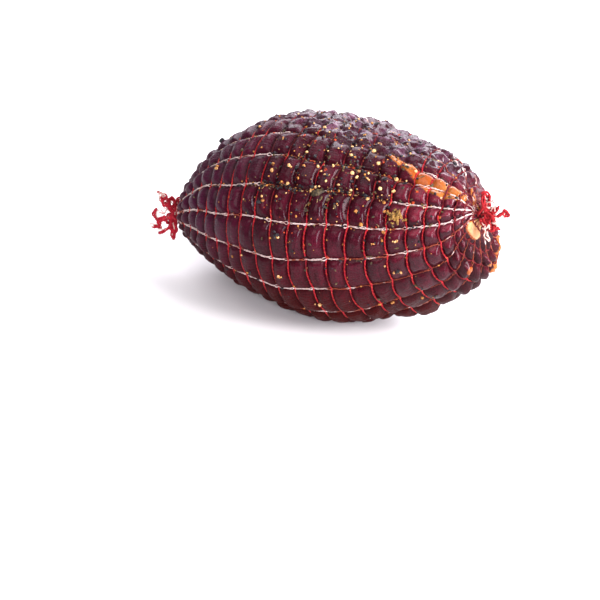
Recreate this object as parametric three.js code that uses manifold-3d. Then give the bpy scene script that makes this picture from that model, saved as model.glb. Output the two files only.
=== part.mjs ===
// A netted piece of cured ham lying on its side. The meat bulges through every opening
// of a knitted net, whose lengthwise cords and cross hoops lie in the grooves between.
// The net is gathered at both ends, where frayed loops of it stick out.
// Millimetres, +Z up, +X along the ham towards its blunt end.
import * as THREE from 'three';
import { mergeVertices } from 'three/addons/utils/BufferGeometryUtils.js';
import Module from 'manifold-3d';

// Body: a long egg round a middle line that rises towards the blunt end.
const LENGTH = 215;
const RADIUS = 58.8;
const TILT = THREE.MathUtils.degToRad(8.4);
const FULLNESS = [-0.034, -0.354, 0.132, 0.195]; // how the radius swells and tapers, by powers of u
const BEND_SIDE = { cubed: 10.7, fourth: 11.3, level: 0.15 }; // the middle line's sway towards -Y
const BEND_UP = { cubed: 14.0, squared: 1.1, level: 0.3 }; // and its rise at the blunt end
const FLATTEN = { mid: -0.047, growth: -0.049 }; // wider than tall
const SKEW = { mid: -0.025, growth: 0.012 }; // and leaning a little
const SWELLINGS = [
  { at: [86.6, -3.6, -1.8], push: [20.7, -0.9, -7.7], reach: 26 }, // blunt end below the gather
  { at: [33.7, -13.4, -45.7], push: [5.0, -4.1, -9.6], reach: 30 }, // sagging belly
  { at: [110.4, -20.6, 28.0], push: [-3.2, 2.0, 5.7], reach: 13 }, // the gather drawn up
  { at: [64.9, -2.7, -30.2], push: [2.2, -5.1, -6.7], reach: 10.3 }, // lump beside the foot
];

// Place in the frame: the origin is under the middle of the whole piece.
const CENTRE = new THREE.Vector3(-1.7, -1.5, 59.3);
const FLOOR = -CENTRE.z;

// Net: cords run lengthwise, hoops run round.
const CORDS = 18;
const FIRST_CORD = THREE.MathUtils.degToRad(73.6);
const HOOP_PITCH = 11.69;
const FIRST_HOOP = 16.35; // its distance from the pointed end, over the surface
const HOOPS = 21;
const GATHER_RING = 8.2; // the same for the ring that closes the pointed end
const LAST_GAP = 4.4; // how much further off the ring is that closes the blunt end
const HOOP_LEAN = { up: 0.04, side: 0.056 };
const STRAND_WIDTH = 1.4;
const STRAND_THICKNESS = 0.95;
const STRAND_LIFT = 1.45; // from the groove's bottom to the strand
const END_LIFT = 0.7; // more of it on the last rows, where the gather draws the net tight
const END_ROWS = 3;
const FLOOR_GAP = 0.3;
const DRIFT_ALONG = [{ size: 0.5, waves: 5, shift: 1.9 }, { size: 0.4, waves: 3, shift: -0.7 }];
const DRIFT_ROUND = [{ size: 0.012, waves: 2, shift: 1.3 }, { size: 0.008, waves: 7, shift: 0.5 }];

// Relief of the meat between the strands.
const GROOVE_DEPTH = 1.6;
const PILLOW_HEIGHT = 1.1;
const PILLOW_INSET = 0.24;
const LUMP_HEIGHT = 0.45;
const LUMP_SIZE = { x: 7.3, y: 8.1, z: 6.7 };
const SMOOTH_RADIUS = 9; // the relief fades out from 30 mm to 9 mm off the middle line
const FULL_RELIEF_RADIUS = 30;

// Cracked spice stuck to the upper side.
const CRUMBS = 38;
const CRUMB_SEED = 41;
const CRUMB_SIZES = { largest: 5.4, smallest: 2.4 };
const ROUNDER_ABOVE = 3.6;
const SPICE_CORD = -2.4;
const SPICE_HOOP = 12.5;
const SPICE_SPREAD = { cords: 2.1, hoops: 3.9 };
const SPICE_ROWS = { first: 4, last: 17 };
const BELL_WIDTH = 1.9; // of a sum of three draws, against its spread
const CRUMB_TAPER = 0.6; // the power by which sizes fall from the largest
const CRUMB_STRAY = { across: 0.3, along: 0.2 }; // from the middle of its bulge, in cords and hoops
const CRUMB_FLATNESS = { largest: 0.45, smallest: 0.8 };
const CRUMB_NARROWEST = 0.7;
const CRUMB_STAND = 0.08;

// Gathered ends: a tied neck, a knot and loose strands. A strand's bends and a knot's
// place say how far out along the ham, up and towards -Y they are from the last ring.
const TUFT_THICKNESS = 1.9;
const TUFT_SIDES = 4;
const NECK_SIDES = 7;
const NECK_GAP = 0.65;
const NECK_PROFILE = [[0, 0], [0.8, 0], [1, 0.35], [0.5, 0.7], [0.6, 0.95], [0, 1]];
const POINTED_END = {
  neck: { radius: 4.6, length: 6 },
  knot: { place: [5.8, -2.6, 3.6], radius: 2.9 },
  strands: [
    [[5, -2.5, 3.5], [7, 1.5, 3], [8.5, 6, 2], [7.5, 9, 0]],
    [[5, -2.5, 3.5], [5, 1.5, 1.5], [4.5, 6, -3.5]],
    [[5.5, -1.5, 3.5], [8.5, 3.5, 4.5], [10.5, 6.5, 6], [11.5, 9, 5.5], [10.5, 10, 3], [9.5, 8, 2]],
    [[5.5, -3, 4], [11, -3, 7], [16, -4.5, 8], [17, -1, 8.5], [16, 3.5, 7]],
    [[11, -3, 7], [15, -5, 9], [15, -8.5, 9], [19, -8.5, 10]],
    [[5, -3.5, 4], [6.5, -6, 6], [7.5, -9, 8.5], [15, -12.5, 10.5]],
    [[5.5, -3, 4], [6, -8, 7], [3.5, -15, 10.5]],
    [[3.5, -15, 10.5], [3.5, -9.5, 7.5], [4.5, -4, 4.5]],
  ],
};
const BLUNT_END = {
  neck: { radius: 3.6, length: 5 },
  knot: { place: [4.5, 1.5, 2], radius: 1.9 },
  strands: [
    [[2, 2, 1.5], [5.5, 5, 3], [5, 10, 3.5], [4, 12.5, 0], [5.5, 11.5, -2], [6.5, 9.5, -1.5]],
    [[2, 1, 1], [6, 1, 3.5], [9.5, 0, 4.5], [9, -3, 6], [7, -2.5, 7], [5, -0.5, 6]],
    [[2, 1, 1], [9, 0.5, 2.5], [12.5, 1, 0.5], [15, 3, -1.5], [16, 1.5, -2.5], [15, 0, -1.5]],
    [[2, 0.5, 1.5], [8.5, -2, 6], [7, -3.5, 8.5], [7.5, -6.5, 10], [9.5, -10.5, 11]],
    [[2, 1, 1], [7, 3, 2], [10.5, 0, 3], [11, -3, 5.5], [10, -5, 8]],
  ],
};

const wasm = await Module();
wasm.setup();

const axis = new THREE.Vector3(Math.cos(TILT), 0, Math.sin(TILT));
const upward = new THREE.Vector3(-Math.sin(TILT), 0, Math.cos(TILT));
const sideways = new THREE.Vector3(0, -1, 0);

function seededRandom(seed) {
  let state = seed;
  return () => {
    state = (state * 1664525 + 1013904223) % 4294967296;
    return state / 4294967296;
  };
}

// Mean radius at u, which runs from -1 at the pointed end to 1 at the blunt end.
function radiusAt(u) {
  const swell = FULLNESS.reduce((sum, part, power) => sum + part * u ** (power + 1), 1);
  return RADIUS * Math.sqrt(Math.max(0, 1 - u * u)) * swell;
}

// Point of the body before its relief; turn is 0 at the top and grows towards -Y.
function bodyPoint(u, turn) {
  const flatten = (FLATTEN.mid + FLATTEN.growth * u) * Math.cos(2 * turn);
  const skew = (SKEW.mid + SKEW.growth * u) * Math.sin(2 * turn);
  const radius = radiusAt(u) * (1 + flatten + skew);
  const toSide = BEND_SIDE.cubed * u ** 3 + BEND_SIDE.fourth * (u ** 4 - BEND_SIDE.level);
  const toTop = BEND_UP.cubed * u ** 3 + BEND_UP.squared * (u ** 2 - BEND_UP.level);
  const point = axis.clone().multiplyScalar((u * LENGTH) / 2);
  point.addScaledVector(upward, radius * Math.cos(turn) + toTop);
  point.addScaledVector(sideways, radius * Math.sin(turn) + toSide);
  const moved = point.clone();
  for (const { at, push, reach } of SWELLINGS) {
    const distance = point.distanceTo(new THREE.Vector3(...at));
    const share = Math.exp(-(distance ** 2) / (2 * reach ** 2));
    moved.addScaledVector(new THREE.Vector3(...push), share);
  }
  return moved;
}

function outwardAt(u, turn) {
  const step = 0.004;
  const inside = THREE.MathUtils.clamp(u, -0.99, 0.99);
  const along = bodyPoint(inside + step, turn).sub(bodyPoint(inside - step, turn));
  const round = bodyPoint(inside, turn + step).sub(bodyPoint(inside, turn - step));
  return round.cross(along).normalize();
}

// The value of u at a distance from the pointed end, measured over the surface.
const PROFILE_STEPS = 800;
const profile = [{ u: -1, length: 0 }];
for (let k = 1; k <= PROFILE_STEPS; k += 1) {
  const u = (2 * k) / PROFILE_STEPS - 1;
  const last = profile[k - 1];
  const rise = radiusAt(u) - radiusAt(last.u);
  const run = LENGTH / PROFILE_STEPS;
  profile.push({ u, length: last.length + Math.hypot(run, rise) });
}

function uAtDistance(distance) {
  const next = profile.findIndex((entry) => entry.length >= distance);
  const [from, to] = [profile[next - 1], profile[next]];
  const share = (distance - from.length) / (to.length - from.length);
  return THREE.MathUtils.lerp(from.u, to.u, share);
}

// How near to its very ends the net may come, as a value of u.
const LAST_U = 0.999;

// Rows: the gather ring, then the hoops. Cord and row numbers may be fractions.
const ROWS = HOOPS + 1;

function rowDistance(row) {
  if (row < 1) return THREE.MathUtils.lerp(GATHER_RING, FIRST_HOOP, row);
  return FIRST_HOOP + (row - 1) * HOOP_PITCH + LAST_GAP * Math.max(0, row - HOOPS + 1);
}

// A knitted net never lies quite evenly.
function netUnevenness(cord, row) {
  const round = Math.round(((cord % CORDS) + CORDS) % CORDS * 1000) / 1000;
  const phase = (2 * Math.PI * round) / CORDS;
  const waver = (sum, { size, waves, shift }) => sum + size * Math.sin(waves * phase + shift * row);
  return { along: DRIFT_ALONG.reduce(waver, 0), turn: DRIFT_ROUND.reduce(waver, 0) };
}

function netPlace(cord, row) {
  const uneven = netUnevenness(cord, row);
  const turn = FIRST_CORD + (cord * 2 * Math.PI) / CORDS + uneven.turn;
  const even = uAtDistance(rowDistance(row) + uneven.along);
  const lean = HOOP_LEAN.up * Math.cos(turn) + HOOP_LEAN.side * Math.sin(turn);
  const leaning = even + lean * Math.sqrt(Math.max(0, 1 - even * even));
  return { u: THREE.MathUtils.clamp(leaning, -LAST_U, LAST_U), turn };
}

function reliefAt(u) {
  return THREE.MathUtils.smoothstep(radiusAt(u), SMOOTH_RADIUS, FULL_RELIEF_RADIUS);
}

function atLeastHeight(point, height) {
  point.z = Math.max(point.z, FLOOR + height);
  return point;
}

// Where a cord crosses a row, at the bottom of the groove.
function groovePoint(cord, row) {
  const { u, turn } = netPlace(cord, row);
  const depth = GROOVE_DEPTH * reliefAt(u);
  const point = bodyPoint(u, turn).addScaledVector(outwardAt(u, turn), -depth);
  return atLeastHeight(point, FLOOR_GAP + STRAND_LIFT + STRAND_THICKNESS);
}

// The crown of a bulge, with soft lumps that differ from bulge to bulge.
function pillowPoint(cord, row) {
  const { u, turn } = netPlace(cord, row);
  const point = bodyPoint(u, turn);
  const across = Math.sin(point.y / LUMP_SIZE.y + point.z / LUMP_SIZE.z);
  const lumps = Math.sin(point.x / LUMP_SIZE.x + 1) * across;
  const height = (PILLOW_HEIGHT + LUMP_HEIGHT * lumps) * reliefAt(u);
  return atLeastHeight(point.addScaledVector(outwardAt(u, turn), height), 0);
}

// The middle of an end's last row, and the way that end faces.
function endOf(end) {
  const row = end < 0 ? 0 : ROWS - 1;
  const ring = Array.from({ length: CORDS }, (_, cord) => groovePoint(cord, row));
  const middle = new THREE.Vector3();
  ring.forEach((point) => middle.addScaledVector(point, 1 / CORDS));
  const facing = new THREE.Vector3();
  ring.forEach((point, cord) => {
    const next = ring[(cord + 1) % CORDS].clone().sub(middle);
    facing.add(point.clone().sub(middle).cross(next));
  });
  facing.multiplyScalar(end).normalize();
  return { middle, facing };
}

// Collects corners and faces of a closed body; quads are listed anticlockwise from outside.
class Skin {
  constructor() {
    this.corners = [];
    this.faces = [];
  }

  corner(point) {
    this.corners.push(point.x, point.y, point.z);
    return this.corners.length / 3 - 1;
  }

  triangle(a, b, c) {
    this.faces.push(a, b, c);
  }

  quad(a, b, c, d) {
    this.faces.push(a, b, c, a, c, d);
  }

  geometry() {
    const geometry = new THREE.BufferGeometry();
    geometry.setAttribute('position', new THREE.Float32BufferAttribute(this.corners, 3));
    geometry.setIndex(this.faces);
    return geometry;
  }
}

function toSolid(geometry) {
  const bare = geometry.clone();
  bare.deleteAttribute('normal');
  bare.deleteAttribute('uv');
  const merged = mergeVertices(bare);
  const vertProperties = new Float32Array(merged.attributes.position.array);
  const triVerts = new Uint32Array(merged.index.array);
  return new wasm.Manifold(new wasm.Mesh({ numProp: 3, vertProperties, triVerts }));
}

function toGeometry(solid) {
  const { vertProperties, triVerts } = solid.getMesh();
  const geometry = new THREE.BufferGeometry();
  geometry.setAttribute('position', new THREE.BufferAttribute(vertProperties, 3));
  geometry.setIndex(new THREE.BufferAttribute(triVerts, 1));
  return geometry;
}

function fuse(geometries) {
  const solids = geometries.map(toSolid);
  return toGeometry(solids.reduce((whole, solid) => whole.add(solid)));
}

function meatGeometry() {
  const skin = new Skin();
  const grid = [];
  for (let row = 0; row < ROWS; row += 1) {
    grid.push(Array.from({ length: CORDS }, (_, cord) => skin.corner(groovePoint(cord, row))));
  }
  for (let row = 0; row < ROWS - 1; row += 1) {
    for (let cord = 0; cord < CORDS; cord += 1) {
      const next = (cord + 1) % CORDS;
      const rim = [grid[row][cord], grid[row][next], grid[row + 1][next], grid[row + 1][cord]];
      const near = PILLOW_INSET;
      const far = 1 - PILLOW_INSET;
      const crown = [[near, near], [far, near], [far, far], [near, far]].map(
        ([across, along]) => skin.corner(pillowPoint(cord + across, row + along)),
      );
      skin.quad(...crown);
      for (let k = 0; k < 4; k += 1) {
        const after = (k + 1) % 4;
        skin.quad(rim[k], rim[after], crown[after], crown[k]);
      }
    }
  }
  const pointed = skin.corner(endOf(-1).middle);
  const blunt = skin.corner(endOf(1).middle);
  for (let cord = 0; cord < CORDS; cord += 1) {
    const next = (cord + 1) % CORDS;
    skin.triangle(pointed, grid[0][next], grid[0][cord]);
    skin.triangle(blunt, grid[ROWS - 1][cord], grid[ROWS - 1][next]);
  }
  return skin.geometry();
}

// Broken peppercorns and herb bits, each sunk into the crown of a bulge of its own.
function spiceGeometries() {
  const random = seededRandom(CRUMB_SEED);
  const bell = () => random() + random() + random() - 1.5;
  const taken = new Set();
  const crumbs = [];
  while (crumbs.length < CRUMBS) {
    const cord = Math.round(SPICE_CORD + BELL_WIDTH * SPICE_SPREAD.cords * bell());
    const row = Math.round(SPICE_HOOP + BELL_WIDTH * SPICE_SPREAD.hoops * bell());
    const place = `${cord} ${row}`;
    if (taken.has(place) || row < SPICE_ROWS.first || row > SPICE_ROWS.last) continue;
    taken.add(place);
    const share = crumbs.length / CRUMBS;
    const size = THREE.MathUtils.lerp(CRUMB_SIZES.largest, CRUMB_SIZES.smallest, share ** CRUMB_TAPER);
    const across = 0.5 + CRUMB_STRAY.across * (random() - 0.5);
    const along = 0.5 + CRUMB_STRAY.along * (random() - 0.5);
    const { u, turn } = netPlace(cord + across, row + along);
    const Shape = size > ROUNDER_ABOVE ? THREE.IcosahedronGeometry : THREE.OctahedronGeometry;
    const crumb = new Shape(size / 2, 0);
    crumb.rotateX(random() * Math.PI);
    crumb.rotateY(random() * Math.PI);
    const outward = outwardAt(u, turn);
    const flat = THREE.MathUtils.lerp(CRUMB_FLATNESS.largest, CRUMB_FLATNESS.smallest, share);
    crumb.scale(1, THREE.MathUtils.lerp(CRUMB_NARROWEST, 1, random()), flat);
    const stand = new THREE.Quaternion().setFromUnitVectors(new THREE.Vector3(0, 0, 1), outward);
    crumb.applyQuaternion(stand);
    const seat = pillowPoint(cord + across, row + along);
    seat.addScaledVector(outward, CRUMB_STAND * size);
    crumb.translate(seat.x, seat.y, seat.z);
    crumbs.push(crumb);
  }
  return crumbs;
}

// One knot of the net: four corners under it and four over it, named by side.
function crossing(skin, cord, row) {
  const here = groovePoint(cord, row);
  const { u, turn } = netPlace(cord, row);
  const outward = outwardAt(u, turn);
  const before = groovePoint(cord - 1, row);
  const round = groovePoint(cord + 1, row).sub(before);
  round.addScaledVector(outward, -round.dot(outward)).normalize();
  const along = outward.clone().cross(round).normalize();
  const knot = {};
  const lift = STRAND_LIFT + (row < ROWS - END_ROWS ? 0 : END_LIFT);
  for (const [level, height] of [['under', lift], ['over', lift + STRAND_THICKNESS]]) {
    for (const [name, across, ahead] of [['00', -1, -1], ['10', 1, -1], ['11', 1, 1], ['01', -1, 1]]) {
      const corner = here.clone().addScaledVector(outward, height);
      corner.addScaledVector(round, (across * STRAND_WIDTH) / 2);
      corner.addScaledVector(along, (ahead * STRAND_WIDTH) / 2);
      knot[level + name] = skin.corner(atLeastHeight(corner, FLOOR_GAP));
    }
  }
  return knot;
}

// A strand between two knots: from corners a and b of one to corners d and c of the other.
function strand(skin, from, a, b, to, c, d) {
  skin.quad(from[`over${a}`], to[`over${d}`], to[`over${c}`], from[`over${b}`]);
  skin.quad(from[`under${b}`], to[`under${c}`], to[`under${d}`], from[`under${a}`]);
  skin.quad(from[`under${a}`], to[`under${d}`], to[`over${d}`], from[`over${a}`]);
  skin.quad(from[`over${b}`], to[`over${c}`], to[`under${c}`], from[`under${b}`]);
}

function netGeometry() {
  const skin = new Skin();
  const knots = [];
  for (let row = 0; row < ROWS; row += 1) {
    knots.push(Array.from({ length: CORDS }, (_, cord) => crossing(skin, cord, row)));
  }
  for (let row = 0; row < ROWS; row += 1) {
    for (let cord = 0; cord < CORDS; cord += 1) {
      const knot = knots[row][cord];
      skin.quad(knot.over00, knot.over10, knot.over11, knot.over01);
      skin.quad(knot.under01, knot.under11, knot.under10, knot.under00);
      strand(skin, knot, '10', '11', knots[row][(cord + 1) % CORDS], '01', '00');
      if (row < ROWS - 1) strand(skin, knot, '11', '01', knots[row + 1][cord], '00', '10');
      if (row === 0) skin.quad(knot.under00, knot.under10, knot.over10, knot.over00);
      if (row === ROWS - 1) skin.quad(knot.under11, knot.under01, knot.over01, knot.over11);
    }
  }
  return skin.geometry();
}

// A gathered net end: a tied neck just off the meat, its knot and the strands it frays into.
function tuftGeometry(end, { neck, knot, strands }) {
  const { middle, facing } = endOf(end);
  const place = ([out, rise, side]) => middle.clone()
    .addScaledVector(axis, end * out)
    .addScaledVector(upward, rise)
    .addScaledVector(sideways, side);
  const neckOutline = NECK_PROFILE.map(
    ([radius, height]) => new THREE.Vector2(radius * neck.radius, height * neck.length),
  );
  const foot = middle.clone().addScaledVector(facing, NECK_GAP);
  const tied = new THREE.LatheGeometry(neckOutline, NECK_SIDES);
  tied.applyQuaternion(new THREE.Quaternion().setFromUnitVectors(new THREE.Vector3(0, 1, 0), facing));
  tied.translate(foot.x, foot.y, foot.z);
  const ball = new THREE.IcosahedronGeometry(knot.radius, 0);
  ball.translate(...place(knot.place));
  const corner = (_, k) => new THREE.Vector2(TUFT_THICKNESS / 2, 0)
    .rotateAround(new THREE.Vector2(), (2 * Math.PI * k) / TUFT_SIDES);
  const section = new THREE.Shape(Array.from({ length: TUFT_SIDES }, corner));
  const loops = strands.map((bends) => {
    const extrudePath = new THREE.CatmullRomCurve3(bends.map(place));
    const settings = { steps: bends.length, bevelEnabled: false, extrudePath };
    return new THREE.ExtrudeGeometry(section, settings);
  });
  return fuse([tied, ball, ...loops]);
}

function addPiece(group, name, geometry, color, roughness) {
  const material = new THREE.MeshStandardMaterial({ color, roughness, metalness: 0 });
  const mesh = new THREE.Mesh(geometry, material);
  mesh.name = name;
  group.add(mesh);
}

const ham = new THREE.Group();
ham.position.copy(CENTRE);
addPiece(ham, 'ham', fuse([meatGeometry(), ...spiceGeometries()]), 0x5c2733, 0.5);
addPiece(ham, 'net', netGeometry(), 0xc9746c, 0.8);
addPiece(ham, 'net_tuft_left', tuftGeometry(-1, POINTED_END), 0xb3303c, 0.85);
addPiece(ham, 'net_tuft_right', tuftGeometry(1, BLUNT_END), 0xb3303c, 0.85);

export default ham;
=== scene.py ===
# A netted piece of cured ham: meat bulging through its knitted net, the frayed net ends,
# streaks of fat, and the cracked pepper and herbs that stick to the upper side.
import math

import bmesh
import bpy
import numpy as np
from mathutils import Matrix, Quaternion, Vector, noise
from mathutils.kdtree import KDTree


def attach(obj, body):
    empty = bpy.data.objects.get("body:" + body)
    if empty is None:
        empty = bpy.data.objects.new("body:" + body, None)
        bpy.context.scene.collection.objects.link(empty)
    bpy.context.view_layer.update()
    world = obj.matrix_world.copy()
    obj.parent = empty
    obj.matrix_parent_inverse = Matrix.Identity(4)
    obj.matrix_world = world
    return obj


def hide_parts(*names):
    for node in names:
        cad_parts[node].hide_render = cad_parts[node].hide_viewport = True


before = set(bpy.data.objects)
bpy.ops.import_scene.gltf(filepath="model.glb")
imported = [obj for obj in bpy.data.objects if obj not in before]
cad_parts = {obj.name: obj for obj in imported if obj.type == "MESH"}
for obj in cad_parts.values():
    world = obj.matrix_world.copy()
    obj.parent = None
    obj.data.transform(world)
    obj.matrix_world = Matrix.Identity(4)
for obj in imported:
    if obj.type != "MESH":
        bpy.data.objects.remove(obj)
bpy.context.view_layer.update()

# Shapes are worked out in millimetres and placed in metres.
MM = 0.001

# ---------------------------------------------------------------- form of the ham
LENGTH = 215
RADIUS = 58.8
TILT = math.radians(8.4)
# The radius along the ham is 1 plus these parts of u, u squared and so on.
FULLNESS = (-0.034, -0.354, 0.132, 0.195)
# How far the middle line bends off straight, by powers of u.
BEND_SIDE = {"cubed": 10.7, "fourth": 11.3, "level": 0.15}
BEND_UP = {"cubed": 14.0, "squared": 1.1, "level": 0.3}
# How far the section is from round: in the middle, and growing along the ham.
FLATTEN = {"mid": -0.047, "growth": -0.049}
SKEW = {"mid": -0.025, "growth": 0.012}
# Places where the body is pushed out, in millimetres before the ham is set down.
SWELLINGS = (
    {"at": (86.6, -3.6, -1.8), "push": (20.7, -0.9, -7.7), "reach": 26},
    {"at": (33.7, -13.4, -45.7), "push": (5.0, -4.1, -9.6), "reach": 30},
    {"at": (110.4, -20.6, 28.0), "push": (-3.2, 2.0, 5.7), "reach": 13},
    {"at": (64.9, -2.7, -30.2), "push": (2.2, -5.1, -6.7), "reach": 10.3},
)
CENTRE = np.array((-1.7, -1.5, 59.3))

CORDS = 18
FIRST_CORD = math.radians(73.6)
HOOP_PITCH = 11.69
FIRST_HOOP = 16.35
LAST_ROW = 21
GATHER_RING = 8.2
LAST_GAP = 4.4
EXTRA_HOOP = 20.5
HOOP_LEAN = {"up": 0.04, "side": 0.056}
HOOP_BOW = 0.10
BOW_POWER = 2.2
# Waves by which the net strays from even: size, waves round the ham, shift in each row.
STRAY_ALONG = ((0.5, 5, 1.9), (0.4, 3, -0.7))
STRAY_ROUND = ((0.012, 2, 1.3), (0.008, 7, 0.5))
VERY_END = 0.999

ALONG = np.array((math.cos(TILT), 0, math.sin(TILT)))
UPWARD = np.array((-math.sin(TILT), 0, math.cos(TILT)))
SIDEWAYS = np.array((0, -1, 0))


def unit(vectors):
    return vectors / np.linalg.norm(vectors, axis=-1, keepdims=True)


def smooth(value, start, end):
    """0 before start, 1 after end, and a soft step between; start may be the larger."""
    share = np.clip((value - start) / (end - start), 0, 1)
    return share * share * (3 - 2 * share)


def radius_at(u):
    swell = 1 + sum(part * u ** (power + 1) for power, part in enumerate(FULLNESS))
    return RADIUS * np.sqrt(np.maximum(0, 1 - u * u)) * swell


def body_point(u, turn):
    """The smooth body. u runs from -1 to 1 along it; turn is 0 at the top, towards -Y."""
    flatten = (FLATTEN["mid"] + FLATTEN["growth"] * u) * np.cos(2 * turn)
    skew = (SKEW["mid"] + SKEW["growth"] * u) * np.sin(2 * turn)
    radius = radius_at(u) * (1 + flatten + skew)
    to_side = BEND_SIDE["cubed"] * u**3 + BEND_SIDE["fourth"] * (u**4 - BEND_SIDE["level"])
    to_top = BEND_UP["cubed"] * u**3 + BEND_UP["squared"] * (u**2 - BEND_UP["level"])
    point = (u * LENGTH / 2)[..., None] * ALONG
    point = point + (radius * np.cos(turn) + to_top)[..., None] * UPWARD
    point = point + (radius * np.sin(turn) + to_side)[..., None] * SIDEWAYS
    moved = point.copy()
    for swelling in SWELLINGS:
        distance = np.linalg.norm(point - np.array(swelling["at"]), axis=-1)
        share = np.exp(-(distance**2) / (2 * swelling["reach"] ** 2))
        moved += share[..., None] * np.array(swelling["push"])
    return moved + CENTRE


def outward_at(u, turn):
    step = 0.004
    inside = np.clip(u, -0.99, 0.99)
    along = body_point(inside + step, turn) - body_point(inside - step, turn)
    around = body_point(inside, turn + step) - body_point(inside, turn - step)
    return unit(np.cross(around, along))


PROFILE_U = np.linspace(-1, 1, 801)
PROFILE_STEPS = np.hypot(np.diff(PROFILE_U) * LENGTH / 2, np.diff(radius_at(PROFILE_U)))
PROFILE_LENGTH = np.concatenate([[0], np.cumsum(PROFILE_STEPS)])


def row_distance(row):
    first = GATHER_RING + (FIRST_HOOP - GATHER_RING) * row
    even = np.where(row < 1, first, FIRST_HOOP + (row - 1) * HOOP_PITCH)
    return even + LAST_GAP * np.maximum(0, row - (LAST_ROW - 1))


def bow(cord):
    """Hoops bow towards the pointed end between cords, in rows."""
    return -HOOP_BOW * (1 - np.abs(2 * (cord % 1) - 1) ** BOW_POWER)


def wander(waves, phase, row):
    return sum(size * np.sin(count * phase + shift * row) for size, count, shift in waves)


def net_place(cord, row):
    """Where on the body the net has this cord and row number; both may be fractions."""
    phase = 2 * math.pi * cord / CORDS
    turn = FIRST_CORD + phase + wander(STRAY_ROUND, phase, row)
    distance = row_distance(row) + wander(STRAY_ALONG, phase, row)
    even = np.interp(distance, PROFILE_LENGTH, PROFILE_U)
    lean = HOOP_LEAN["up"] * np.cos(turn) + HOOP_LEAN["side"] * np.sin(turn)
    u = np.clip(even + lean * np.sqrt(np.maximum(0, 1 - even * even)), -VERY_END, VERY_END)
    return u, turn


def cords_from(cord, middle):
    """Signed number of cords from middle, the short way round."""
    return (cord - middle + CORDS / 2) % CORDS - CORDS / 2


# ---------------------------------------------------------------- relief of the meat
# In threes: a measure everywhere, what the pointed end adds, and what the sagging part adds.
GROOVE_DEPTH = (2.0, 0.2, 1.0)
PILLOW_HEIGHT = (0.45, 0.25, 0.9)
ROUNDNESS = (0.0, 0.45, 0.5)
CORD_DENT = (0.8, 0.0, 0.1)
CORD_DENT_WIDTH = (1.9, 0.0, 1.4)
POINTED_ROWS = (10, 5)
SAGGING = {"rows": (16, 19), "cord": 5.0, "cords_off": (4.2, 2.6)}
SHOULDER = 1.5
SHOULDER_SPREAD = (0.75, 1.25)
CELL_CROWN = 0.9
CELL_UNEVEN = 0.4
CELL_TIP = 0.3
CREASED = (0.68, 0.8)
CREASE_DEPTH = 1.1
CREASE_WIDTH = 0.9
LUMPS = {"height": 0.45, "along": 7.3, "across": 8.1, "up": 6.7}
ROUGH_COARSE = {"height": 0.4, "size": 5.5}
ROUGH_FINE = {"height": 0.16, "size": 2.4}
CRUST_FOLDS = {"height": 2.6, "size": 13.0, "squeeze": (1.0, 1.4, 1.4)}
CRUST_CRUMBS = {"height": 0.8, "size": 4.5}
CRUST_SETTLED = {"most": 1.9, "least": 0.3, "rows": (18.0, 15.5)}
CRUST_MIDDLE = {"cord": -5.6, "row": 14.0}
CRUST_SIZE = {"cord": 2.5, "row": 5.6}
# Fat shows in chains of round spots: cord, row, radius.
FAT_STREAK = (
    (-2.95, 15.2, 1.4), (-2.7, 16.2, 2.6), (-2.45, 17.0, 3.6),
    (-2.2, 17.9, 5.6), (-2.1, 18.9, 5.6), (-2.4, 19.9, 3.6),
)
FAT_LUMP = ((2.3, 20.75, 3.6), (3.7, 20.72, 3.8))
FAT_STRIPE = ((-4.45, 20.3, 1.4), (-4.2, 20.9, 1.7))
FAT_RIM = ((8.0, 20.2, 2.6), (7.4, 20.0, 3.2), (6.6, 19.8, 2.8), (6.2, 19.5, 1.6))
FAT_SPOTS = ((3.6, 19.6, 2.2), (5.6, 20.1, 1.8), (-0.4, 19.0, 0.9))
FAT_EDGE = {"inside": 0.75, "outside": 1.25, "soft": 0.5}
FAT_SPACING = 6
FAT_RISE = 1.0
FAT_ROUGH = {"height": 0.3, "size": 8.0}
LUMP_RISE = 1.6
CAP_FOLD = 1.1
CAP_SWELL = 1.5
SPICE_CORD = -2.4
SPICE_HOOP = 12.5
SPICE_SIZE = {"cord": 2.1, "row": 5.0}

dice = np.random.default_rng(18)
CELLS = (CORDS, LAST_ROW + 2)
CELL_HEIGHT = dice.uniform(-1, 1, CELLS)
CELL_CREASE = dice.uniform(0, 1, CELLS)
CELL_LEAN = dice.uniform(-1, 1, CELLS)
CELL_SHOULDER = dice.uniform(*SHOULDER_SPREAD, CELLS)


def rough(points, size, octaves=3, shift=0.0):
    """Fractal noise of about -1 to 1 at points in millimetres, with lumps of that size."""
    moved = np.atleast_2d(points) / size + shift
    return np.array([noise.fractal(Vector(p), 1.0, 2.0, octaves) for p in moved])


def crust_share(cord, row):
    """1 where the upper side is dried to a rough crust, 0 elsewhere."""
    across = np.abs(cords_from(cord, CRUST_MIDDLE["cord"])) / CRUST_SIZE["cord"]
    along = np.abs(row - CRUST_MIDDLE["row"]) / CRUST_SIZE["row"]
    return smooth(np.sqrt(across**2.6 + along**3), 1.35, 0.8)


def spice_share(cord, row):
    """1 in the middle of the spiced part of the upper side, 0 well off it."""
    across = cords_from(cord, SPICE_CORD) / SPICE_SIZE["cord"]
    along = (row - SPICE_HOOP) / SPICE_SIZE["row"]
    return smooth(np.sqrt(across**2 + along**2), 1.3, 0.6)


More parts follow.
